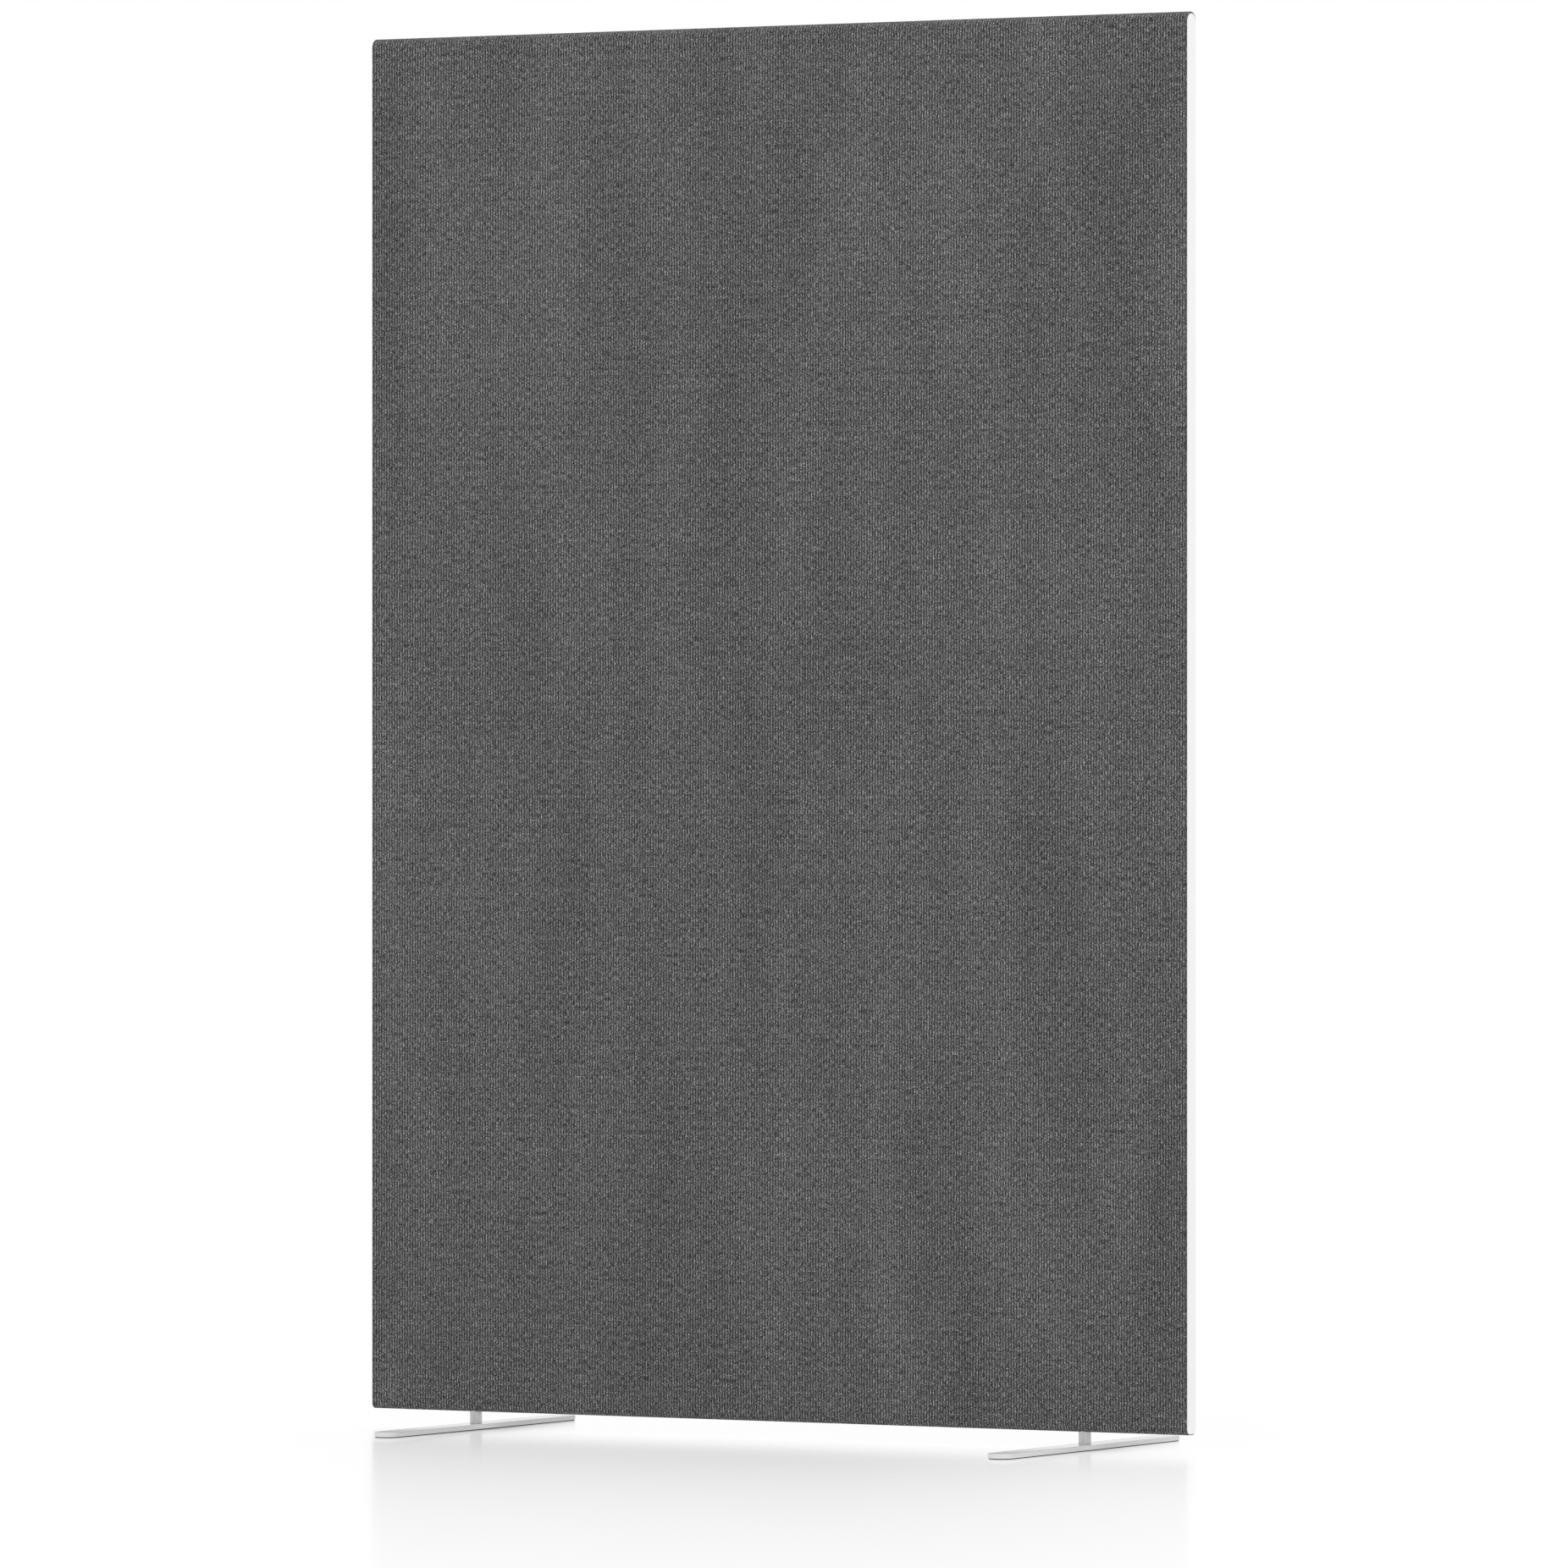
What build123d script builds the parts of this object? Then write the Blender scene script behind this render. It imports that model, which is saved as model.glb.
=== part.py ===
from build123d import *
import os

# Acoustic divider screen: a fabric-covered panel on two flat swivelling feet.
# Millimetres. X runs along the panel, the front faces -Y, Z is up and zero is the floor.

# Panel
panel_width = 999.0  # fabric edge to fabric edge, without the end strips
panel_height = 1481.0
panel_depth = 20.4  # fabric face to fabric face
top_flat = 1.2  # level stretch between the two large rounds of the top edge
bottom_flat = 7.4  # level stretch between the two smaller rounds of the bottom edge

# Skins over the frame
fabric_thickness = 1.2
fleece_thickness = 1.0
fabric_edge_round = 0.9

# Timber frame
stile_width = 40.0
top_rail_height = 45.0
middle_rail_height = 45.0
bottom_rail_height = 60.0

# Loose tenons of the frame joints, one in each
tenon_thickness = 6.0
tenon_width = 24.0
tenon_length = 40.0
mortise_clearance = 0.05
mortise_end_gap = 1.0

# Absorber boards between the rails
board_clearance = 0.5

# End strips: a cap with a barbed rib that clamps the fabric in a saw cut
strip_rim = 1.4  # fabric left showing at each side of the cap
strip_top_rim = 2.0
strip_bottom_rim = 1.1
strip_proud = 0.5
strip_edge_round = 0.4
strip_clearance = 0.1
tuck_thickness = 0.6  # fabric pressed flat under the cap and beside the rib
tuck_depth = 9.0
rib_thickness = 1.4
rib_depth = 10.0
rib_setback = 24.0  # from each end of the cap
barb_reach = 0.4
barb_pitch = 2.6
barb_count = 3
kerf_depth = 12.0

# Feet
foot_length = 388.0
foot_width = 28.0
foot_thickness = 5.0
foot_inset = 126.0  # from each end of the panel to the bolt
foot_edge_break = 0.6
pad_thickness = 1.0
pad_inset = 1.0
pad_hole_margin = 0.3

# Bolted connection of each foot
stand_off = 13.0  # visible height of the sleeve
sleeve_diameter = 13.0
sleeve_chamfer = 0.3
sleeve_hole_gap = 0.3
sleeve_bore_gap = 0.2
seat_depth = 1.2  # spot face in the bottom rail that the sleeve stands in
bolt_diameter = 8.0
bolt_length = 40.0
bolt_chamfer = 0.8
head_diameter = 16.0
head_land = 0.4
head_sink = 0.2
socket_across_flats = 5.0
socket_depth = 2.8
pivot_clearance = 0.1
insert_diameter = 12.0
insert_length = 22.0
insert_chamfer = 0.8
insert_bore_relief = 3.0
thread_clearance = 0.02
countersink_angle = 90

overrun = 1.0  # how far a cut runs past the face it opens

# Levels and half widths that follow
foot_base = pad_thickness
foot_top = foot_base + foot_thickness
panel_base = foot_top + stand_off
panel_top = panel_base + panel_height
panel_middle = (panel_base + panel_top) / 2
skin = fabric_thickness + fleece_thickness
frame_depth = panel_depth - 2 * skin
frame_base = panel_base + skin
frame_top = panel_top - skin
frame_half = panel_width / 2 - fabric_thickness
opening_half = frame_half - stile_width
top_rail_base = frame_top - top_rail_height
bottom_rail_top = frame_base + bottom_rail_height
top_round = (panel_depth - top_flat) / 2
bottom_round = (panel_depth - bottom_flat) / 2
foot_offset = panel_width / 2 - foot_inset
sleeve_top = frame_base + seat_depth
head_base = foot_base + head_sink
barb_half = rib_thickness / 2 + barb_reach
cap_inner = frame_half + tuck_thickness
cap_outer = panel_width / 2 + strip_proud
cap_base = panel_base + strip_bottom_rim
cap_top = panel_top - strip_top_rim
rib_base = cap_base + rib_setback
rib_top = cap_top - rib_setback
countersink_radius = head_diameter / 2 + pivot_clearance + head_sink + head_land

feet = {"left": -foot_offset, "right": foot_offset}


def panel_section(x, inset, low=panel_base, high=panel_top):
    """The panel's end outline, drawn inwards by inset, and kept between two levels."""
    with BuildSketch(Plane.YZ.offset(x)) as section:
        with Locations((0, panel_middle)):
            Rectangle(panel_depth - 2 * inset, panel_height - 2 * inset)
        fillet(section.vertices().group_by(Axis.Y)[-1], top_round - inset)
        fillet(section.vertices().group_by(Axis.Y)[0], bottom_round - inset)
        with Locations((0, (low + high) / 2)):
            Rectangle(panel_depth, high - low, mode=Mode.INTERSECT)
    return section.sketch


def cap_section(x, grow):
    """The end strip's face: half round at the top, small rounds at the bottom."""
    half = panel_depth / 2 - strip_rim + grow
    centre = cap_top + grow - half
    base = cap_base - grow
    with BuildSketch(Plane.YZ.offset(x)) as section:
        with Locations((0, (base + centre) / 2)):
            Rectangle(2 * half, centre - base)
        fillet(section.vertices().group_by(Axis.Y)[0], bottom_round - strip_rim + grow)
        with Locations((0, centre)):
            Circle(half)
    return section.sketch


def tenon_section(x, direction, grow=0):
    """Round-edged tenons at a joint face, one at the middle of each rail."""
    face = Plane(origin=(x, 0, 0), x_dir=(0, 1, 0), z_dir=(direction, 0, 0))
    levels = (
        bottom_rail_top - bottom_rail_height / 2,
        panel_middle,
        top_rail_base + top_rail_height / 2,
    )
    with BuildSketch(face) as section:
        with Locations([(0, direction * level) for level in levels]):
            SlotOverall(tenon_width + 2 * grow, tenon_thickness + 2 * grow, rotation=90)
    return section.sketch


def cut_mortises(x, direction):
    """Blind slots from a joint face at x, into the timber that lies in the given direction."""
    slots = tenon_section(x, direction, mortise_clearance)
    extrude(slots, amount=tenon_length / 2 + mortise_end_gap, mode=Mode.SUBTRACT)


def cut_foot_holes(level, radius, depth):
    """Round holes on the bolt axes, upwards from a level."""
    with BuildSketch(Plane.XY.offset(level)) as holes:
        with Locations([(x, 0) for x in feet.values()]):
            Circle(radius)
    extrude(holes.sketch, amount=depth, mode=Mode.SUBTRACT)


# Stiles: full height, with the saw cut that the end strip's rib is pressed into
with BuildPart() as stile_right:
    extrude(panel_section(opening_half, skin), amount=stile_width)
    with BuildSketch(Plane.YZ.offset(frame_half - kerf_depth)):
        with Locations((0, panel_middle)):
            Rectangle(2 * (barb_half + tuck_thickness), panel_height)
    extrude(amount=kerf_depth, mode=Mode.SUBTRACT)
    cut_mortises(opening_half, 1)

with BuildPart() as stile_left:
    mirror(stile_right.part, about=Plane.YZ)

# Rails: the top one is rounded like the panel's edge, the bottom one carries the feet
with BuildPart() as top_rail:
    extrude(panel_section(-opening_half, skin, low=top_rail_base), amount=2 * opening_half)
    cut_mortises(opening_half, -1)
    cut_mortises(-opening_half, 1)

with BuildPart() as middle_rail:
    with BuildSketch(Plane.YZ.offset(-opening_half)):
        with Locations((0, panel_middle)):
            Rectangle(frame_depth, middle_rail_height)
    extrude(amount=2 * opening_half)
    cut_mortises(opening_half, -1)
    cut_mortises(-opening_half, 1)

with BuildPart() as bottom_rail:
    extrude(panel_section(-opening_half, skin, high=bottom_rail_top), amount=2 * opening_half)
    cut_mortises(opening_half, -1)
    cut_mortises(-opening_half, 1)
    cut_foot_holes(frame_base - overrun, sleeve_diameter / 2 + sleeve_hole_gap, seat_depth + overrun)
    cut_foot_holes(sleeve_top, insert_diameter / 2, insert_length + insert_bore_relief)

# Loose tenons: one across each frame joint
with BuildPart() as loose_tenons:
    for x in (-opening_half, opening_half):
        extrude(tenon_section(x, 1), amount=tenon_length / 2, both=True)

# Absorber boards: each stands on the rail below it and fills its opening
boards = {}
for name, low, high in (
    ("absorber_lower", bottom_rail_top, panel_middle - middle_rail_height / 2),
    ("absorber_upper", panel_middle + middle_rail_height / 2, top_rail_base),
):
    with BuildPart() as board:
        with BuildSketch(Plane.XY.offset(low)):
            Rectangle(2 * (opening_half - board_clearance), frame_depth)
        extrude(amount=high - low - board_clearance)
    boards[name] = board

# Fleece: a closed sleeve between the frame and the fabric
with BuildPart() as fleece_sleeve:
    extrude(panel_section(-frame_half, fabric_thickness), amount=2 * frame_half)
    extrude(panel_section(-frame_half, skin), amount=2 * frame_half, mode=Mode.SUBTRACT)
    cut_foot_holes(panel_base, sleeve_diameter / 2 + sleeve_hole_gap, 2 * skin)

# Fabric: a sewn sleeve whose ends turn in over the stiles and down into the saw cuts
with BuildPart() as fabric_cover:
    extrude(panel_section(-panel_width / 2, 0), amount=panel_width)
    ends = fabric_cover.faces().filter_by(Axis.X).edges()
    fillet(ends, fabric_edge_round)
    hollow = panel_section(-frame_half, fabric_thickness)
    extrude(hollow, amount=2 * frame_half, mode=Mode.SUBTRACT)
    for end in (-1, 1):
        pocket = cap_section(end * cap_inner, strip_clearance)
        extrude(pocket, amount=end * fabric_thickness, mode=Mode.SUBTRACT)
        with BuildSketch(Plane.YZ.offset(end * cap_inner)):
            with Locations((0, (rib_base + rib_top) / 2)):
                Rectangle(2 * (barb_half + tuck_thickness), rib_top - rib_base)
        extrude(amount=-end * (tuck_thickness + tuck_depth))
        with BuildSketch(Plane.YZ.offset(end * (cap_inner + overrun))):
            with Locations((0, (rib_base + rib_top) / 2)):
                Rectangle(2 * barb_half, rib_top - rib_base)
        extrude(amount=-end * (tuck_thickness + tuck_depth + 2 * overrun), mode=Mode.SUBTRACT)
    cut_foot_holes(panel_base - overrun, sleeve_diameter / 2 + sleeve_hole_gap, overrun + 2 * skin)

# End strips: a softened cap, and a rib with saw-tooth barbs along both sides
with BuildPart() as end_strip_right:
    extrude(cap_section(cap_inner, 0), amount=cap_outer - cap_inner)
    fillet(end_strip_right.faces().sort_by(Axis.X)[-1].edges(), strip_edge_round)
    with BuildSketch(Plane.XY.offset(rib_base)):
        with BuildLine():
            teeth = [(cap_inner, 0), (cap_inner, rib_thickness / 2)]
            for tooth in range(barb_count):
                root = cap_inner - rib_depth + (barb_count - tooth) * barb_pitch
                teeth.append((root, rib_thickness / 2))
                teeth.append((root, barb_half))
            teeth.append((cap_inner - rib_depth, rib_thickness / 2 - barb_reach))
            teeth.append((cap_inner - rib_depth, 0))
            Polyline(*teeth)
            mirror(about=Plane.XZ)
        make_face()
    extrude(amount=rib_top - rib_base)

with BuildPart() as end_strip_left:
    mirror(end_strip_right.part, about=Plane.YZ)

# Feet: each turns about its own bolt, between the bolt's head and the sleeve
foot_pieces = {}
for side, x in feet.items():
    bolt_axis = Axis((x, 0, 0), (0, 0, 1))
    upright = Plane(origin=(x, 0, 0), x_dir=(1, 0, 0), z_dir=(0, -1, 0))

    with BuildPart() as foot_plate:
        with BuildSketch(Plane.XY.offset(foot_base)):
            with Locations((x, 0)):
                SlotOverall(foot_length, foot_width, rotation=90)
        extrude(amount=foot_thickness)
        chamfer(foot_plate.faces().sort_by(Axis.Z)[-1].edges(), foot_edge_break)
        with Locations(Plane(origin=(x, 0, foot_base), x_dir=(1, 0, 0), z_dir=(0, 0, -1))):
            CounterSinkHole(
                radius=bolt_diameter / 2 + pivot_clearance,
                counter_sink_radius=countersink_radius,
                depth=foot_thickness,
                counter_sink_angle=countersink_angle,
            )
    foot_pieces[f"foot_plate_{side}"] = foot_plate

    with BuildPart() as foot_pad:
        with BuildSketch():
            with Locations((x, 0)):
                SlotOverall(foot_length - 2 * pad_inset, foot_width - 2 * pad_inset, rotation=90)
                Circle(countersink_radius + pad_hole_margin, mode=Mode.SUBTRACT)
        extrude(amount=pad_thickness)
    foot_pieces[f"foot_pad_{side}"] = foot_pad

    with BuildPart() as sleeve:
        with BuildSketch(Plane.XY.offset(foot_top)):
            with Locations((x, 0)):
                Circle(sleeve_diameter / 2)
                Circle(bolt_diameter / 2 + sleeve_bore_gap, mode=Mode.SUBTRACT)
        extrude(amount=sleeve_top - foot_top)
        chamfer(sleeve.edges().filter_by(GeomType.CIRCLE).group_by(SortBy.RADIUS)[-1], sleeve_chamfer)
    foot_pieces[f"spacer_sleeve_{side}"] = sleeve

    with BuildPart() as bolt:
        with BuildSketch(upright):
            with BuildLine():
                neck = head_base + head_land + (head_diameter - bolt_diameter) / 2
                tip = head_base + bolt_length
                Polyline(
                    (0, head_base),
                    (head_diameter / 2, head_base),
                    (head_diameter / 2, head_base + head_land),
                    (bolt_diameter / 2, neck),
                    (bolt_diameter / 2, tip - bolt_chamfer),
                    (bolt_diameter / 2 - bolt_chamfer, tip),
                    (0, tip),
                    close=True,
                )
            make_face()
        revolve(axis=bolt_axis)
        with BuildSketch(Plane.XY.offset(head_base)):
            with Locations((x, 0)):
                RegularPolygon(socket_across_flats / 2, 6, major_radius=False)
        extrude(amount=socket_depth, mode=Mode.SUBTRACT)
    foot_pieces[f"foot_bolt_{side}"] = bolt

    with BuildPart() as insert:
        with BuildSketch(Plane.XY.offset(sleeve_top)):
            with Locations((x, 0)):
                Circle(insert_diameter / 2)
        extrude(amount=insert_length)
        chamfer(insert.edges().sort_by(Axis.Z)[-1], insert_chamfer)
        with Locations((x, 0, sleeve_top)):
            Hole(bolt_diameter / 2 + thread_clearance)
    foot_pieces[f"threaded_insert_{side}"] = insert

pieces = {
    "stile_left": stile_left,
    "stile_right": stile_right,
    "top_rail": top_rail,
    "middle_rail": middle_rail,
    "bottom_rail": bottom_rail,
    "loose_tenons": loose_tenons,
    "fleece_sleeve": fleece_sleeve,
    "fabric_cover": fabric_cover,
    "end_strip_left": end_strip_left,
    "end_strip_right": end_strip_right,
    **boards,
    **foot_pieces,
}

os.makedirs("parts", exist_ok=True)
for label, piece in pieces.items():
    piece.part.label = label
    export_step(piece.part, f"parts/{label}.step")
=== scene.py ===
from math import cos, dist, hypot, pi, radians, sin

import bpy
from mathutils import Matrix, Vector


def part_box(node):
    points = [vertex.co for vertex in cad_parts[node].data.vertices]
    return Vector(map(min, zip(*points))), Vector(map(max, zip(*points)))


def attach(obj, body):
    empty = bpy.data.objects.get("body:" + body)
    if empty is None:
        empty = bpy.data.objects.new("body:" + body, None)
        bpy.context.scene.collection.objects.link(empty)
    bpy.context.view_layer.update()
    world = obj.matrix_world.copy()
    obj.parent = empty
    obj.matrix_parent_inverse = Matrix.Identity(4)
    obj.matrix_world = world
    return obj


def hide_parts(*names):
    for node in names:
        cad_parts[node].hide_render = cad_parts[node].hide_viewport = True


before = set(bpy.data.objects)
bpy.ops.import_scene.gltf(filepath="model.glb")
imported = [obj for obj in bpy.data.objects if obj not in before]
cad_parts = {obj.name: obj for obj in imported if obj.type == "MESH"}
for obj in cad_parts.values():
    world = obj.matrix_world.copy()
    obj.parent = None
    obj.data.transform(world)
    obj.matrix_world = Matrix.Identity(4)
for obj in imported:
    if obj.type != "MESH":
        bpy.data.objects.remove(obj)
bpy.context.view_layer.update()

# Acoustic divider screen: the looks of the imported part, in its own frame.
# Metres. X runs along the panel, the front faces -Y, Z is up and zero is the floor.

MM = 0.001
WEAVE = "weave"  # the cover's map: across the ribs and along them, in metres

# Panel cover
TOP_ROUND = 9.6 * MM
BOTTOM_ROUND = 6.5 * MM
END_ROUND = 0.9 * MM
RIB_PITCH = 3.283 * MM
RIB_SHIFT = 0.17  # of a rib, from the panel's middle to a crest
RIB_RELIEF = 0.45 * MM
STITCH_PITCH = 3.2775 * MM
LEG_LEAN = 1.4  # rise of a loop's legs for each step outwards
ROW_SHIFT = 0.75  # of a row, from the floor to the middle of a loop
GROOVE_SPAN = (0.05, 0.45)  # of a rib, from its crest: where the groove starts and is deepest
LOOP_SPAN = (0.1, 0.5)  # of a row, from a loop's middle: where it starts to fall and ends
RIB_STEPS = 6  # mesh columns to a rib
ARC_STEPS = 7
SIDE_STEPS = 4
FLAT_STEPS = 6
END_STEPS = 4
FADE = 2.0 * MM  # ribs flatten out over this length at each end
HOLD = 0.2 * MM  # beside each rounding, an extra row of points that keeps flats looking flat

# Seam that closes the cover along the middle of its underside
SEAM_DEPTH = 0.35 * MM
SEAM_HALF = 1.0 * MM
SEAM_STITCH = 3.0 * MM
SEAM_BELOW = 22 * MM  # the seam's level is lower than this
SEAM_POINT = FLAT_STEPS // 2 + 1  # in each ring of the cover
SEAM_CORE = 0.1 * MM  # the fold's painted shade is darkest up to here from its middle
THREAD_SPAN = (0.08, 0.2)  # of a stitch, from its middle: where the thread starts to fade and ends

# Noise cells to a metre in the knit: across the ribs and along them
FLECK_CELLS = (1100, 620)
STRAND_CELLS = (1000, 190)
CLOUD_CELLS = (10, 2)
YARN_CELLS = (3.7, 60)  # the first to a rib
PLY_CELLS = (2600, 420)  # across a leg's plies and along them
STRAND_SLICE = 5  # keeps the strands apart from the flecks
CLOUD_DETAIL = 4
CLOUD_ROUGHNESS = 0.58
FIBRE_CONTRAST = (0.3, 0.7)  # noise below and above these is quite dark and quite light

# How much each feature of the knit changes its tone, before the gamma
FLECK_TONE = 0.37
STRAND_TONE = 0.26
# Painted shade: how much darker the grooves between the ribs are
GROOVE_PAINTED_SHADE = 0.14
# Painted highlight: how much lighter the middle of each raised loop is
LOOP_PAINTED_HIGHLIGHT = 0.1
PLY_TONE = 0.16
YARN_TONE = 0.17
CLOUD_TONE = 0.145
BASE_DROP = 0.21
# Painted shade: how much darker the seam's fold is
FOLD_PAINTED_SHADE = 0.4
THREAD_TONE = 0.6
TONE_GAMMA = 2.2

# Heights of the knit's features next to a loop's, and how deep its bump is
PLY_HEIGHT = 0.5
FLECK_HEIGHT = 0.25
GROOVE_HEIGHT = 0.5
FOLD_HEIGHT = 2
KNIT_BUMP = 0.4 * MM
KNIT_BUMP_STRENGTH = 0.5

# Where the cover turns in at the ends
POCKET_GAP = 0.1 * MM
POCKET_FLOOR = 0.3 * MM  # above the stile
POCKET_TOP_ROUND = 0.97  # of the pocket's half width
HEM_HALF = 1.4 * MM
HEM_ROUND = 1.2 * MM
HEM_DEPTH = 9.0 * MM
HEM_OVERLAP = 0.3 * MM
HEM_SETBACK = 24.0 * MM  # from each end of the strip
HOLE_RADIUS = 6.8 * MM  # round each sleeve

# Feet
FOOT_EDGE = 0.6 * MM
FOOT_SEGMENTS = 24  # to each half-round end
LATHE_SEGMENTS = 64
SLEEVE_EDGE = 0.3 * MM
BORE_RADIUS = 4.2 * MM
FOOT_UNDER_EDGE = 0.1 * MM
PIVOT_RADIUS = 4.1 * MM
HOLE_MOUTH = 8.7 * MM  # countersink's radius at the underside
EDGE_STEPS = 4

SIDES = ("left", "right")
SLEEVES = [f"spacer_sleeve_{side}" for side in SIDES]
STRIPS = [f"end_strip_{side}" for side in SIDES]

# Finishes: noise cells to a metre, and tones from 0 to 255 or as linear colours
PEEL_CELLS = 700
PAINT_DRIFT_CELLS = 14
PAINT_DRIFT_TONE = 3
STRIP_LINE_CELLS = (1500, 4)  # across the strip and along it
STRIP_DRIFT_CELLS = 6
STRIP_DRIFT_ALONG = 3  # times as many cells along the strip
STRIP_TONES = (242, 248)
RUBBER_CELLS = 900
RUBBER_TONES = (40, 66)
ZINC_CLOUD_CELLS = 240
ZINC_SCRATCH_CELLS = 2600
ZINC_COLOURS = ((0.50, 0.51, 0.53, 1), (0.66, 0.67, 0.68, 1))
GRAIN_CELLS = (9, 150)  # along the timber's grain and across it
PORE_FINENESS = 9  # times as many cells as the grain
GRAIN_CONTRAST = (0.42, 0.66)
PINE_COLOURS = ((0.66, 0.45, 0.25, 1), (0.74, 0.54, 0.32, 1))
PINE_RING_COLOUR = (0.46, 0.27, 0.13, 1)
FIBRE_SHARE = 0.2  # of a felt's cells, along its fibres
FELT_CONTRAST = (0.4, 0.75)
BOARD_CELLS = 900
BOARD_COLOURS = ((0.5, 0.47, 0.41, 1), (0.72, 0.69, 0.62, 1))
FLEECE_CELLS = 1800
FLEECE_COLOURS = ((0.66, 0.65, 0.62, 1), (0.82, 0.81, 0.79, 1))

# Light
SKY = 0.93
KEY_WATTS = 60
KEY_SIZE = 4.0
KEY_AT = (3.0, -5.0, 4.5)
KEY_TURN = (radians(55), 0, radians(30))
FLOOR_HALF = 60.0
FLOOR_CORNERS = ((-1, -1), (1, -1), (1, 1), (-1, 1))
FLOOR_DROP = 0.05 * MM  # keeps the floor's plane apart from the pads' undersides
FLOOR_WHITE = 1.02
FLOOR_MATT_TONE = 250
FLOOR_SHARE = 0.9  # of the floor's tone that stays white in the shadow
MIRROR_SHARE = 0.48  # of the floor's tone that mirrors the screen at the panel's foot
MIRROR_FADE = 0.97  # metres from the panel over which that falls to 1/e
CONTACT_SHARE = 0.45  # more of it that mirrors what stands close to the panel
CONTACT_FADE = 0.15  # metres from the panel over which that falls to 1/e
MIRROR_SLANT = 0.58  # X that lines of equal dullness gain with each Y towards the front
MIRROR_END = 0.5  # metres to the right of the panel's middle, where it is dullest
MIRROR_LOSS = 0.5  # of the mirroring, where it is dullest
MIRROR_BLUR = 0.165
GRAZING_POWER = 3

# Photograph
FRAME_PX = 1852
FOCAL_PX = 13959.5
HORIZON_PX = 866.81
CAMERA_YAW = radians(30.109)
CAMERA_AT = (6.2993, -10.8458, 0.7485)
SENSOR = 36.0
VIEW_END = 200


# Meshes


def make_object(name, verts, faces, material, smooth=True):
    """A mesh object in the scene, with one material."""
    mesh = bpy.data.meshes.new(name)
    mesh.from_pydata(verts, [], faces)
    mesh.validate()
    mesh.polygons.foreach_set("use_smooth", [smooth] * len(mesh.polygons))
    mesh.materials.append(material)
    obj = bpy.data.objects.new(name, mesh)
    bpy.context.scene.collection.objects.link(obj)
    return obj


def ring_faces(count, size, closed=False):
    """Quads between neighbouring rings of size points; closed joins the last ring to the first."""
    faces = []
    for i in range(count if closed else count - 1):
        a, b = i * size, (i + 1) % count * size
        for j in range(size):
            k = (j + 1) % size
            faces.append((a + j, a + k, b + k, b + j))
    return faces


def outline(half, base, top, low, high):
    """(y, z) points round an upright section: underside, back, top, front. Always as many."""
    points = []

    def straight(start, end, steps):
        near = min(HOLD / dist(start, end), 0.25)
        for t in (0, near, *[i / steps for i in range(1, steps)], 1 - near):
            points.append([a + (b - a) * t for a, b in zip(start, end)])

    def arc(y, z, radius, start):
        for i in range(ARC_STEPS):
            angle = start + pi / 2 * i / ARC_STEPS
            points.append([y + radius * cos(angle), z + radius * sin(angle)])

    straight((low - half, base), (half - low, base), FLAT_STEPS)
    arc(half - low, base + low, low, -pi / 2)
    straight((half, base + low), (half, top - high), SIDE_STEPS)
    arc(half - high, top - high, high, 0)
    straight((half - high, top), (high - half, top), 1)
    arc(high - half, top - high, high, pi / 2)
    straight((-half, top - high), (-half, base + low), SIDE_STEPS)
    arc(low - half, base + low, low, pi)
    return points


# Shader graphs


class Socket:
    """A shader value that can be calculated with."""

    def __init__(self, graph, socket):
        self.graph = graph
        self.socket = socket

    def maths(self, operation, *others):
        return self.graph.maths(operation, self, *others)

    def __add__(self, other):
        return self.maths("ADD", other)

    def __radd__(self, other):
        return self.graph.maths("ADD", other, self)

    def __sub__(self, other):
        return self.maths("SUBTRACT", other)

    def __rsub__(self, other):
        return self.graph.maths("SUBTRACT", other, self)

    def __mul__(self, other):
        return self.maths("MULTIPLY", other)

    def __rmul__(self, other):
        return self.graph.maths("MULTIPLY", other, self)

    def __truediv__(self, other):
        return self.maths("DIVIDE", other)

    def __rtruediv__(self, other):
        return self.graph.maths("DIVIDE", other, self)

    def __abs__(self):
        return self.maths("ABSOLUTE")

    def floor(self):
        return self.maths("FLOOR")

    def fract(self):
        return self.maths("FRACT")

    def clamped(self):
        return self.maths("MINIMUM", 1).maths("MAXIMUM", 0)

    def step(self, low, high):
        """0 below low and 1 above high, smooth between them."""
        node = self.graph.node(
            "ShaderNodeMapRange",
            {"interpolation_type": "SMOOTHSTEP"},
            {"Value": self, "From Min": low, "From Max": high},
        )
        return node.out("Result")


class Node:
    """A shader node whose outputs come as Sockets."""

    def __init__(self, graph, node):
        self.graph = graph
        self.node = node

    def out(self, name):
        return Socket(self.graph, self.node.outputs[name])


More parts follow.
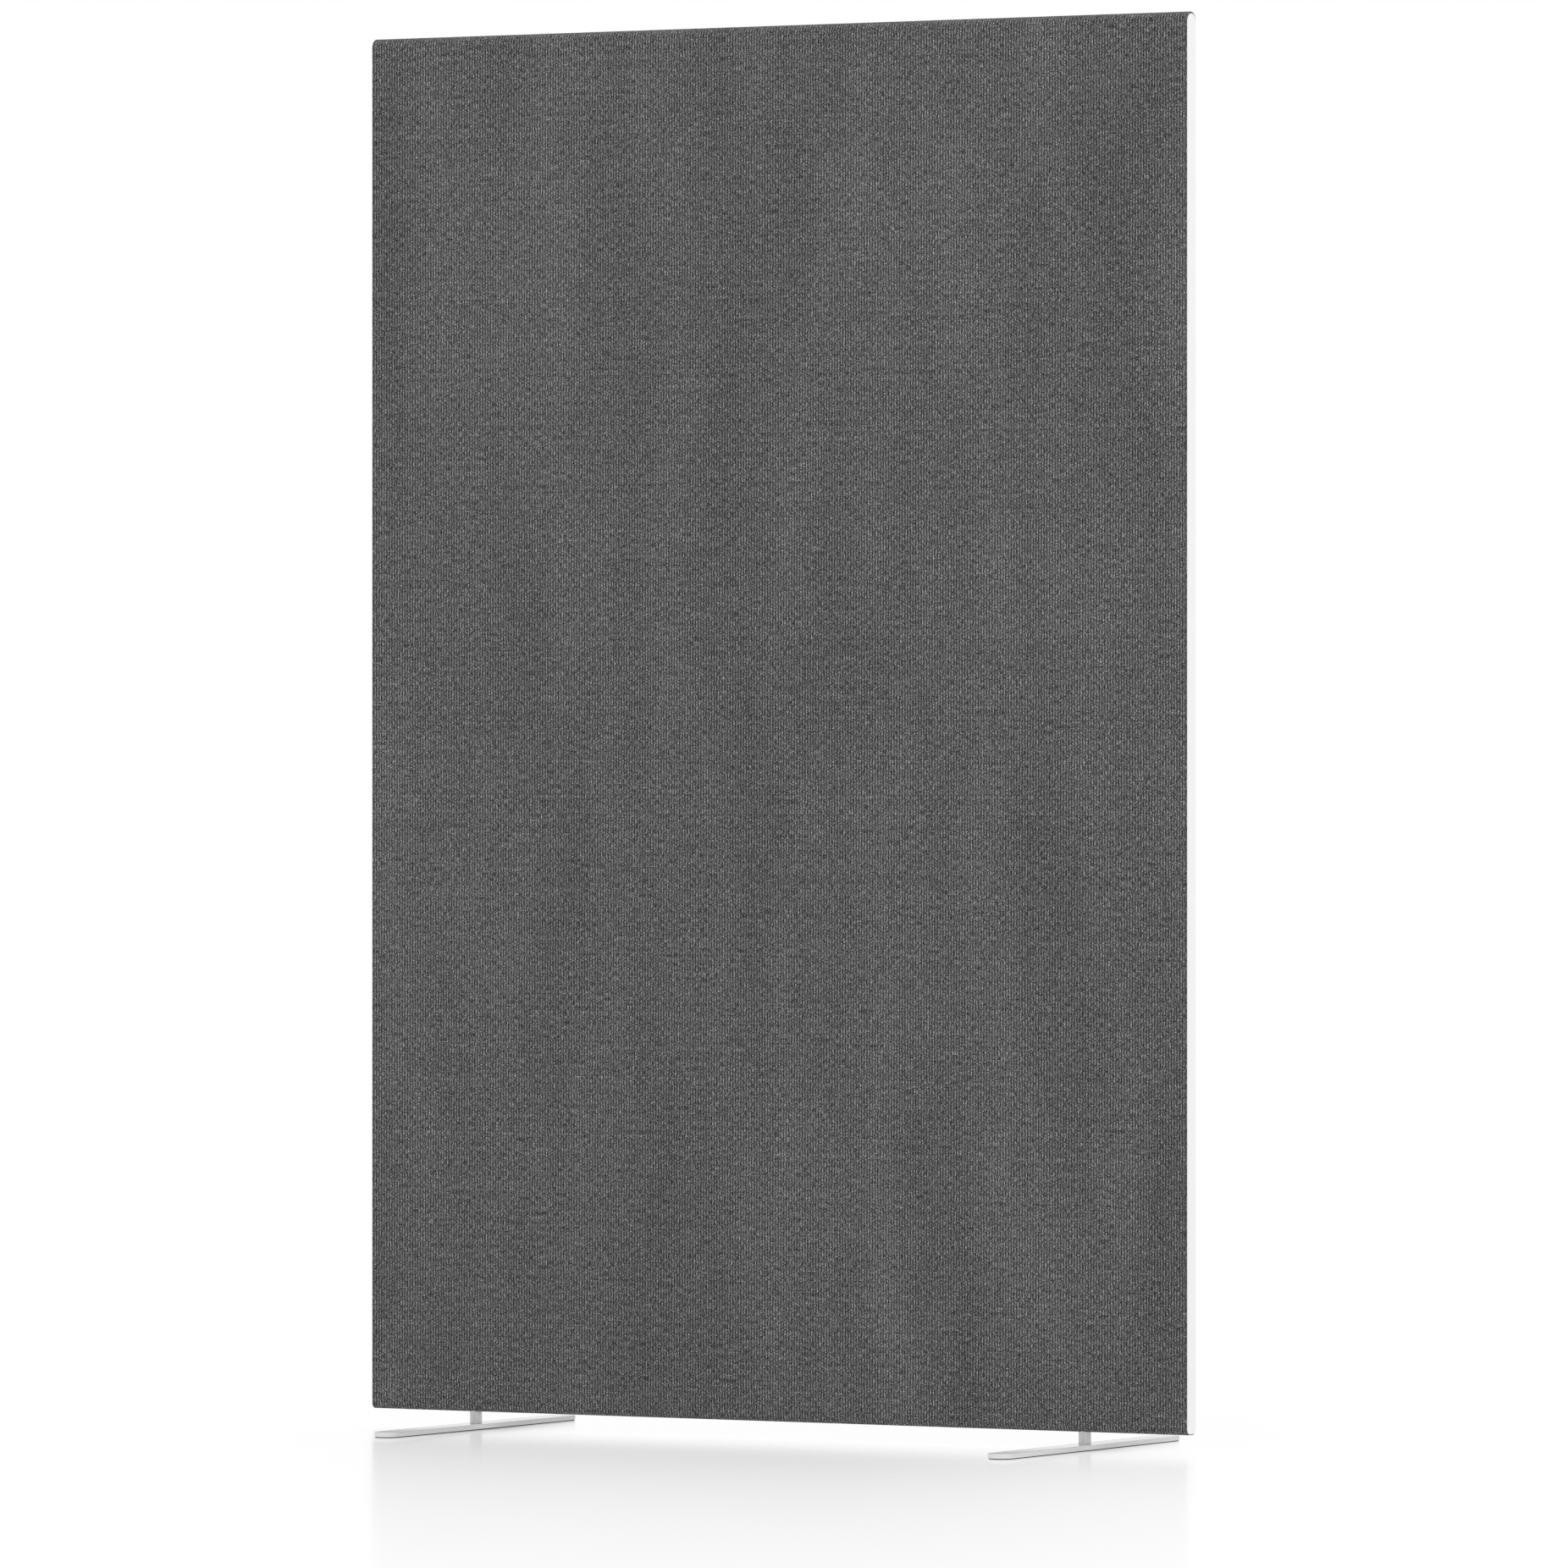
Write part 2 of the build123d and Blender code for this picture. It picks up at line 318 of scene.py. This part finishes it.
class Graph:
    """The node tree of a material or world."""

    def __init__(self, tree):
        self.tree = tree
        tree.nodes.clear()

    def set_input(self, socket, value):
        if isinstance(value, Socket):
            self.tree.links.new(value.socket, socket)
        else:
            socket.default_value = value

    def node(self, kind, settings=None, inputs=None):
        node = self.tree.nodes.new(kind)
        for name, value in (settings or {}).items():
            setattr(node, name, value)
        for name, value in (inputs or {}).items():
            self.set_input(node.inputs[name], value)
        return Node(self, node)

    def maths(self, operation, *values):
        node = self.tree.nodes.new("ShaderNodeMath")
        node.operation = operation
        for socket, value in zip(node.inputs, values):
            self.set_input(socket, value)
        return Socket(self, node.outputs[0])

    def vector(self, x=0, y=0, z=0):
        return self.node("ShaderNodeCombineXYZ", {}, {"X": x, "Y": y, "Z": z}).out("Vector")

    def split(self, vector):
        node = self.node("ShaderNodeSeparateXYZ", {}, {"Vector": vector})
        return [node.out(axis) for axis in "XYZ"]

    def noise(self, vector, scale, detail=2.0, roughness=0.5):
        inputs = {"Vector": vector, "Scale": scale, "Detail": detail, "Roughness": roughness}
        return self.node("ShaderNodeTexNoise", {}, inputs).out("Fac")

    def mix(self, factor, first, second):
        mixer = self.node("ShaderNodeMix", {"data_type": "RGBA"}).node
        colours = [socket for socket in mixer.inputs if socket.type == "RGBA"]
        for socket, value in zip([mixer.inputs["Factor"], *colours], (factor, first, second)):
            self.set_input(socket, value)
        return Socket(self, next(s for s in mixer.outputs if s.type == "RGBA"))

    def bump(self, height, distance, strength=1.0):
        inputs = {"Height": height, "Distance": distance, "Strength": strength}
        return self.node("ShaderNodeBump", {}, inputs).out("Normal")


def grey(value):
    """An opaque neutral colour from a display tone of 0 to 255."""
    tone = value / 255
    linear = ((tone + 0.055) / 1.055) ** 2.4
    return (linear, linear, linear, 1)


def material(name, build, **constants):
    """A material whose build(graph) returns the inputs that vary; the rest are constants."""
    made = bpy.data.materials.new(name)
    made.use_nodes = True
    graph = Graph(made.node_tree)
    fixed = {key.replace("_", " ").title(): value for key, value in constants.items()}
    shader = graph.node("ShaderNodeBsdfPrincipled", {}, {**fixed, **build(graph)})
    graph.node("ShaderNodeOutputMaterial", {}, {"Surface": shader.out("BSDF")})
    return made


# Materials


def knit(graph):
    """Vertical knitted ribs of V-shaped loops in mixed light and dark grey yarn, with painted
    shade in the grooves and a painted highlight on each loop, and the seam with painted shade in
    its fold.
    """

    def fibres(x, y, z=0):
        return graph.noise(graph.vector(x, y, z), 1, 1).step(*FIBRE_CONTRAST)

    weave = graph.node("ShaderNodeUVMap", {"uv_map": WEAVE}).out("UV")
    across, along, _ = graph.split(weave)
    rib = across / RIB_PITCH - RIB_SHIFT + 0.5
    side = abs(rib.fract() - 0.5)
    # Rows of loops, half a row higher on every second rib
    row = along / STITCH_PITCH + rib.floor() * 0.5 + ROW_SHIFT + 0.5
    rise = abs(row.fract() - 0.5)
    groove = side.step(*GROOVE_SPAN)
    loop = (1 - groove) * (1 - rise.step(*LOOP_SPAN))
    # Each loop's legs lean outwards and upwards from the middle of its rib
    out = side * RIB_PITCH
    ply = fibres((along + out * LEG_LEAN) * PLY_CELLS[0], (along - out) * PLY_CELLS[1])
    # Yarn: light and dark fibre flecks, a drift of tone along each rib, and faint clouds
    flecks = fibres(across * FLECK_CELLS[0], along * FLECK_CELLS[1])
    strands = fibres(across * STRAND_CELLS[0], along * STRAND_CELLS[1], STRAND_SLICE)
    yarn = graph.noise(graph.vector(rib.floor() * YARN_CELLS[0], along * YARN_CELLS[1]), 1, 2)
    drift = graph.vector(across * CLOUD_CELLS[0], along * CLOUD_CELLS[1])
    clouds = graph.noise(drift, 1, CLOUD_DETAIL, CLOUD_ROUGHNESS)
    # The seam: a fold darkened with painted shade, crossed by short stitches
    _, y, z = graph.split(graph.node("ShaderNodeTexCoord").out("Object"))
    fold = (1 - abs(y).step(SEAM_CORE, SEAM_HALF)) * (1 - z.step(SEAM_BELOW, SEAM_BELOW + MM))
    thread = fold * (1 - abs((across / SEAM_STITCH).fract() - 0.5).step(*THREAD_SPAN))
    # The grooves get painted shade and the loops a painted highlight; flecks, strands, plies, yarn
    # and clouds are the yarn's own tone
    tone = flecks * FLECK_TONE + strands * STRAND_TONE - groove * GROOVE_PAINTED_SHADE
    # Painted highlight on the middle of each loop
    tone = tone + loop * LOOP_PAINTED_HIGHLIGHT + ply * PLY_TONE
    tone = tone + yarn * YARN_TONE + clouds * CLOUD_TONE - BASE_DROP
    # Painted shade in the seam's fold; the thread is lighter
    tone = tone - fold * FOLD_PAINTED_SHADE + thread * THREAD_TONE
    shade = tone.clamped().maths("POWER", TONE_GAMMA)
    colour = graph.vector(shade, shade, shade)
    height = loop + ply * PLY_HEIGHT + flecks * FLECK_HEIGHT - groove * GROOVE_HEIGHT
    height = height - fold * FOLD_HEIGHT + thread
    return {"Base Color": colour, "Normal": graph.bump(height, KNIT_BUMP, KNIT_BUMP_STRENGTH)}


def satin_paint(tone, roughness):
    """Powder coat with a faint orange peel."""

    def build(graph):
        place = graph.node("ShaderNodeTexCoord").out("Object")
        peel = graph.noise(place, PEEL_CELLS, 1)
        drift = graph.noise(place, PAINT_DRIFT_CELLS, 2)
        dark, light = grey(tone - PAINT_DRIFT_TONE), grey(tone + PAINT_DRIFT_TONE)
        return {
            "Base Color": graph.mix(drift, dark, light),
            "Roughness": peel * 0.04 + roughness,
            "Normal": graph.bump(peel, 0.01 * MM, 0.1),
        }

    return build


def strip_plastic(graph):
    """White moulded strip with faint lines along its length."""
    x, y, z = graph.split(graph.node("ShaderNodeTexCoord").out("Object"))
    fine, long = STRIP_LINE_CELLS
    lines = graph.noise(graph.vector(x * fine, y * fine, z * long), 1, 2)
    drift = graph.noise(graph.vector(x, y, z * STRIP_DRIFT_ALONG), STRIP_DRIFT_CELLS, 2)
    return {
        "Base Color": graph.mix(drift, *[grey(tone) for tone in STRIP_TONES]),
        "Roughness": lines * 0.1 + 0.42,
        "Normal": graph.bump(lines, 0.02 * MM, 0.3),
    }


def rubber(graph):
    """Dark pad rubber with a fine leathery grain."""
    place = graph.node("ShaderNodeTexCoord").out("Object")
    grain = graph.noise(place, RUBBER_CELLS, 3).step(*FIBRE_CONTRAST)
    return {
        "Base Color": graph.mix(grain, *[grey(tone) for tone in RUBBER_TONES]),
        "Roughness": grain * 0.2 + 0.7,
        "Normal": graph.bump(grain, 0.05 * MM, 0.5),
    }


def zinc(graph):
    """Zinc-plated steel with a cloudy passivation."""
    place = graph.node("ShaderNodeTexCoord").out("Object")
    cloud = graph.noise(place, ZINC_CLOUD_CELLS, 3)
    scratches = graph.noise(place, ZINC_SCRATCH_CELLS, 2)
    return {
        "Base Color": graph.mix(cloud, *ZINC_COLOURS),
        "Roughness": scratches * 0.2 + cloud * 0.15 + 0.2,
        "Normal": graph.bump(scratches, 0.02 * MM, 0.3),
    }


def timber(along):
    """Planed pine with its grain along one axis, 0 to 2."""

    def build(graph):
        axes = graph.split(graph.node("ShaderNodeTexCoord").out("Object"))
        long, fine = GRAIN_CELLS
        stretched = [axis * (long if i == along else fine) for i, axis in enumerate(axes)]
        rings = graph.noise(graph.vector(*stretched), 1, 3)
        pores = graph.noise(graph.vector(*[axis * PORE_FINENESS for axis in stretched]), 1, 2)
        light = graph.mix(pores, *PINE_COLOURS)
        return {
            "Base Color": graph.mix(rings.step(*GRAIN_CONTRAST), light, PINE_RING_COLOUR),
            "Roughness": pores * 0.2 + 0.55,
            "Normal": graph.bump(pores, 0.1 * MM, 0.4),
        }

    return build


def felted(dark, light, cells):
    """Pressed fibres in two tones, some upright and some level."""

    def build(graph):
        x, y, z = graph.split(graph.node("ShaderNodeTexCoord").out("Object"))
        upright = graph.noise(graph.vector(x * cells, y * cells, z * cells * FIBRE_SHARE), 1, 3)
        level = graph.noise(graph.vector(x * cells * FIBRE_SHARE, y * cells, z * cells), 1, 3)
        fibres = upright.maths("MAXIMUM", level)
        return {
            "Base Color": graph.mix(fibres.step(*FELT_CONTRAST), dark, light),
            "Normal": graph.bump(fibres, 0.4 * MM, 0.6),
        }

    return build


knit_cloth = material("Ribbed knit", knit, roughness=0.92, sheen_weight=0.08, sheen_roughness=0.5)
white_paint = material("Satin white powder coat", satin_paint(225, 0.12))
stem_paint = material("Satin silver lacquer", satin_paint(192, 0.3), metallic=0.8)
white_strip = material("White edge strip", strip_plastic)
pad_rubber = material("Dark pad rubber", rubber)
zinc_steel = material("Zinc-plated steel", zinc, metallic=1.0)
upright_timber = material("Upright timber", timber(2))
cross_timber = material("Cross timber", timber(0))
board_felt = material("Absorber felt", felted(*BOARD_COLOURS, BOARD_CELLS), roughness=0.95)
fleece_felt = material("White fleece", felted(*FLEECE_COLOURS, FLEECE_CELLS), roughness=0.95)


# Cover: one closed loop of cloth round the panel, turned in at both ends


def relief(x, half_width):
    """How far the cloth lies below the crest of its ribs at x."""
    edge = min((half_width - abs(x)) / FADE, 1)
    return RIB_RELIEF * (1 - abs(cos(pi * (x / RIB_PITCH - RIB_SHIFT)))) * edge


def cover_rings(low, high):
    """(x, outline) of each ring of the cover, from the left hem to the right one."""
    half_width, half_depth = (high.x - low.x) / 2, (high.y - low.y) / 2
    strip_low, strip_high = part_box("end_strip_right")
    cap_half = (strip_high.y - strip_low.y) / 2 + POCKET_GAP
    pocket = outline(
        cap_half,
        strip_low.z - POCKET_GAP,
        strip_high.z + POCKET_GAP,
        BOTTOM_ROUND - half_depth + cap_half,
        cap_half * POCKET_TOP_ROUND,
    )
    hem_gap = HEM_SETBACK - HEM_OVERLAP
    hem = outline(HEM_HALF, strip_low.z + hem_gap, strip_high.z - hem_gap, HEM_ROUND, HEM_ROUND)
    halfway = [[(a + b) / 2 for a, b in zip(p, q)] for p, q in zip(pocket, hem)]

    def cut(inset):
        bottom, top = BOTTOM_ROUND - inset, TOP_ROUND - inset
        points = outline(half_depth - inset, low.z + inset, high.z - inset, bottom, top)
        points[SEAM_POINT][1] += SEAM_DEPTH
        return points

    turn = half_width - END_ROUND
    steps = round(half_width / RIB_PITCH + 1) * RIB_STEPS
    places = [(i / RIB_STEPS + RIB_SHIFT) * RIB_PITCH for i in range(-steps, steps)]
    middle = [(x, cut(relief(x, half_width))) for x in places if abs(x) < turn]

    end = []
    for i in range(1, END_STEPS + 1):
        angle = pi / 2 * i / END_STEPS
        end.append((turn + END_ROUND * sin(angle), cut(END_ROUND * (1 - cos(angle)))))
    stile_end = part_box("stile_right")[1].x
    floor = stile_end + POCKET_FLOOR
    end += [(half_width, pocket), (floor, pocket), (floor, halfway), (floor, hem)]
    end.append((stile_end - HEM_DEPTH, hem))
    return [(-x, points) for x, points in reversed(end)] + middle + end


def make_cover():
    """The knitted cover, with a hole for each sleeve and a map of its ribs and rows."""
    low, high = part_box("fabric_cover")
    half_width = (high.x - low.x) / 2
    rings = cover_rings(low, high)
    size = len(rings[0][1])
    verts = [(x, y, z) for x, points in rings for y, z in points]

    # Distances along the cloth round the panel, and across it: X where it is ribbed
    front = size - ARC_STEPS - SIDE_STEPS // 2 - 1
    loop = rings[len(rings) // 2][1]
    along = [0.0]
    for j in range(size):
        along.append(along[-1] + dist(loop[j], loop[(j + 1) % size]))
    start = along[front] + loop[front][1]
    turn = half_width - END_ROUND
    across = [0.0]
    for i in range(len(rings) - 1):
        ends = rings[i][0], rings[i + 1][0]
        ribbed = ends[0] < ends[1] and max(abs(x) for x in ends) < turn
        here, there = i * size + front, (i + 1) * size + front
        step = ends[1] - ends[0] if ribbed else dist(verts[here], verts[there])
        across.append(across[-1] + step)
    middle = across[len(rings) // 2] - rings[len(rings) // 2][0]

    # The cloth stops at the edge of each sleeve's hole
    sleeves = [(a.x + b.x) / 2 for a, b in (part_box(n) for n in SLEEVES)]
    inside = {}
    for v, (x, y, z) in enumerate(verts):
        for centre in sleeves:
            if z < low.z + BOTTOM_ROUND and hypot(x - centre, y) < HOLE_RADIUS:
                inside[v] = centre
    faces, maps = [], []
    for i in range(len(rings) - 1):
        for j in range(size):
            k = (j + 1) % size
            face = (i * size + j, i * size + k, (i + 1) * size + k, (i + 1) * size + j)
            if all(v in inside for v in face):
                continue
            faces.append(face)
            near, far = across[i] - middle, across[i + 1] - middle
            lap = along[-1] if j < SEAM_POINT else 0
            first, last = along[j] + lap - start, along[j + 1] + lap - start
            maps += [near, first, near, last, far, last, far, first]
    for v, centre in inside.items():
        x, y, z = verts[v]
        grow = HOLE_RADIUS / max(hypot(x - centre, y), MM)
        verts[v] = (centre + (x - centre) * grow, y * grow, z)

    used = sorted({v for face in faces for v in face})
    place = {v: i for i, v in enumerate(used)}
    faces = [tuple(place[v] for v in face) for face in faces]
    cover = make_object("knitted_cover", [verts[v] for v in used], faces, knit_cloth)
    cover.data.uv_layers.new(name=WEAVE).data.foreach_set("uv", maps)
    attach(cover, "panel")
    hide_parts("fabric_cover")


# Hard pieces


def lathe(name, profile, centre, paint):
    """A closed ring turned round an upright axis at x = centre, from (radius, height) points."""
    verts = []
    for radius, height in profile:
        for i in range(LATHE_SEGMENTS):
            angle = 2 * pi * i / LATHE_SEGMENTS
            verts.append((centre + radius * cos(angle), radius * sin(angle), height))
    faces = ring_faces(len(profile), LATHE_SEGMENTS, closed=True)
    return make_object(name, verts, faces, paint)


def quarter(radius, height, size, start):
    """(radius, height) points of a quarter round in a profile, a little way into both flats."""
    points = []
    for i in range(EDGE_STEPS + 1):
        angle = start + pi / 2 * i / EDGE_STEPS
        points.append((radius + size * cos(angle), height + size * sin(angle)))
    first = (points[0][0] + HOLD * sin(start), points[0][1] - HOLD * cos(start))
    end = start + pi / 2
    last = (points[-1][0] - HOLD * sin(end), points[-1][1] + HOLD * cos(end))
    return [first, *points, last]


def make_sleeve(side):
    """The round stem between a foot and the panel."""
    node = f"spacer_sleeve_{side}"
    low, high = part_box(node)
    centre, radius = (low.x + high.x) / 2, (high.x - low.x) / 2
    edge = radius - SLEEVE_EDGE
    profile = [
        *quarter(edge, low.z + SLEEVE_EDGE, SLEEVE_EDGE, -pi / 2),
        *quarter(edge, high.z - SLEEVE_EDGE, SLEEVE_EDGE, 0),
        (BORE_RADIUS, high.z),
        (BORE_RADIUS, low.z),
    ]
    sleeve = lathe(f"round_stem_{side}", profile, centre, stem_paint)
    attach(sleeve, "panel")
    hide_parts(node)


def stadium(centre, half_length, radius):
    """(x, y) points round a bar with half-round ends that runs along Y."""
    points = []
    for end in (1, -1):
        for i in range(FOOT_SEGMENTS + 1):
            angle = (0 if end > 0 else pi) + pi * i / FOOT_SEGMENTS
            x, y = radius * cos(angle), radius * sin(angle) + end * (half_length - radius)
            points.append((centre + x, y))
    return points


def around(centre, radius):
    """(x, y) points round a hole, opposite those of a stadium."""
    points = []
    for end in (1, -1):
        for i in range(FOOT_SEGMENTS + 1):
            t = (i + 0.5) / (FOOT_SEGMENTS + 1)
            angle = (0 if end > 0 else pi) + pi * t
            points.append((centre + radius * cos(angle), radius * sin(angle)))
    return points


def make_foot(side):
    """A flat bar with a softened upper edge and a countersunk hole from below."""
    node = f"foot_plate_{side}"
    low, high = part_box(node)
    centre, half_length, radius = (low.x + high.x) / 2, (high.y - low.y) / 2, (high.x - low.x) / 2
    rings = [
        (around(centre, HOLE_MOUTH + HOLD), low.z),
        (around(centre, HOLE_MOUTH), low.z),
        (around(centre, PIVOT_RADIUS), low.z + HOLE_MOUTH - PIVOT_RADIUS),
        (around(centre, PIVOT_RADIUS), high.z),
        (around(centre, PIVOT_RADIUS + HOLD), high.z),
    ]
    for offset, height in reversed(quarter(0, high.z - FOOT_EDGE, FOOT_EDGE, 0)):
        inset = FOOT_EDGE - offset
        rings.append((stadium(centre, half_length - inset, radius - inset), height))
    for offset, height in reversed(quarter(0, low.z + FOOT_UNDER_EDGE, FOOT_UNDER_EDGE, -pi / 2)):
        inset = FOOT_UNDER_EDGE - offset
        rings.append((stadium(centre, half_length - inset, radius - inset), height))
    verts = [(x, y, z) for points, z in reversed(rings) for x, y in points]
    faces = ring_faces(len(rings), len(rings[0][0]), closed=True)
    foot = make_object(f"foot_bar_{side}", verts, faces, white_paint)
    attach(foot, f"foot_{side}")
    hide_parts(node)


make_cover()
for side in SIDES:
    make_sleeve(side)
    make_foot(side)

carried = {
    **{name: white_strip for name in STRIPS},
    **{f"foot_pad_{side}": pad_rubber for side in SIDES},
    **{f"foot_bolt_{side}": zinc_steel for side in SIDES},
    **{f"threaded_insert_{side}": zinc_steel for side in SIDES},
    **{f"stile_{side}": upright_timber for side in SIDES},
    **{name: cross_timber for name in ("top_rail", "middle_rail", "bottom_rail", "loose_tenons")},
    **{name: board_felt for name in ("absorber_lower", "absorber_upper")},
    "fleece_sleeve": fleece_felt,
}
for name, finish in carried.items():
    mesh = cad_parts[name].data
    mesh.materials.clear()
    mesh.materials.append(finish)


# Floor, light and camera


def floor_shader(graph):
    """A white floor that keeps a soft shadow and mirrors the screen faintly near its foot."""
    seen = graph.node("ShaderNodeLightPath")
    looked_at = seen.out("Is Camera Ray").maths("MAXIMUM", seen.out("Is Glossy Ray"))
    place = graph.node("ShaderNodeNewGeometry").out("Position")
    x, y, _ = graph.split(place)
    polish = 1 - (x + y * MIRROR_SLANT).step(0, MIRROR_END) * MIRROR_LOSS
    grazing = graph.node("ShaderNodeLayerWeight").out("Facing").maths("POWER", GRAZING_POWER)
    wide = (abs(y) / -MIRROR_FADE).maths("EXPONENT") * polish * MIRROR_SHARE
    close = (abs(y) / -CONTACT_FADE).maths("EXPONENT") * CONTACT_SHARE
    mirror = (wide + close) * grazing
    matt = graph.node("ShaderNodeBsdfDiffuse", {}, {"Color": grey(FLOOR_MATT_TONE)}).out("BSDF")
    glow = {"Color": grey(255), "Strength": FLOOR_WHITE}
    white = graph.node("ShaderNodeEmission", {}, glow).out("Emission")
    polished = {"Color": grey(255), "Roughness": MIRROR_BLUR}
    gloss = graph.node("ShaderNodeBsdfGlossy", {}, polished).out("BSDF")

    def blend(factor, first, second):
        mixer = graph.node("ShaderNodeMixShader").node
        for socket, value in zip(mixer.inputs, (factor, first, second)):
            graph.set_input(socket, value)
        return Socket(graph, mixer.outputs[0])

    base = blend(looked_at * FLOOR_SHARE, matt, white)
    surface = blend(seen.out("Is Camera Ray") * mirror, base, gloss)
    graph.node("ShaderNodeOutputMaterial", {}, {"Surface": surface})


floor_material = bpy.data.materials.new("White floor")
floor_material.use_nodes = True
floor_shader(Graph(floor_material.node_tree))
corners = [(x * FLOOR_HALF, y * FLOOR_HALF, -FLOOR_DROP) for x, y in FLOOR_CORNERS]
make_object("floor", corners, [(0, 1, 2, 3)], floor_material, smooth=False)

world = bpy.data.worlds.new("Studio")
bpy.context.scene.world = world
world.use_nodes = True
sky = Graph(world.node_tree)
rays = sky.node("ShaderNodeLightPath")
seen_white = rays.out("Is Camera Ray").maths("MAXIMUM", rays.out("Is Glossy Ray"))
strength = seen_white * (1 - SKY) + SKY
backdrop = sky.node("ShaderNodeBackground", {}, {"Color": grey(255), "Strength": strength})
sky.node("ShaderNodeOutputWorld", {}, {"Surface": backdrop.out("Background")})

lamp = bpy.data.lights.new("Soft key", "AREA")
lamp.shape = "DISK"
lamp.size = KEY_SIZE
lamp.energy = KEY_WATTS
key = bpy.data.objects.new("Soft key", lamp)
key.location = KEY_AT
key.rotation_euler = KEY_TURN
bpy.context.scene.collection.objects.link(key)

lens = bpy.data.cameras.new("Camera")
lens.sensor_width = SENSOR
lens.lens = FOCAL_PX / FRAME_PX * SENSOR
lens.shift_y = (HORIZON_PX - FRAME_PX / 2) / FRAME_PX
lens.clip_end = VIEW_END
camera = bpy.data.objects.new("Camera", lens)
camera.location = CAMERA_AT
camera.rotation_euler = (pi / 2, 0, CAMERA_YAW)
bpy.context.scene.collection.objects.link(camera)
bpy.context.scene.camera = camera

bpy.context.scene.view_settings.view_transform = "Standard"
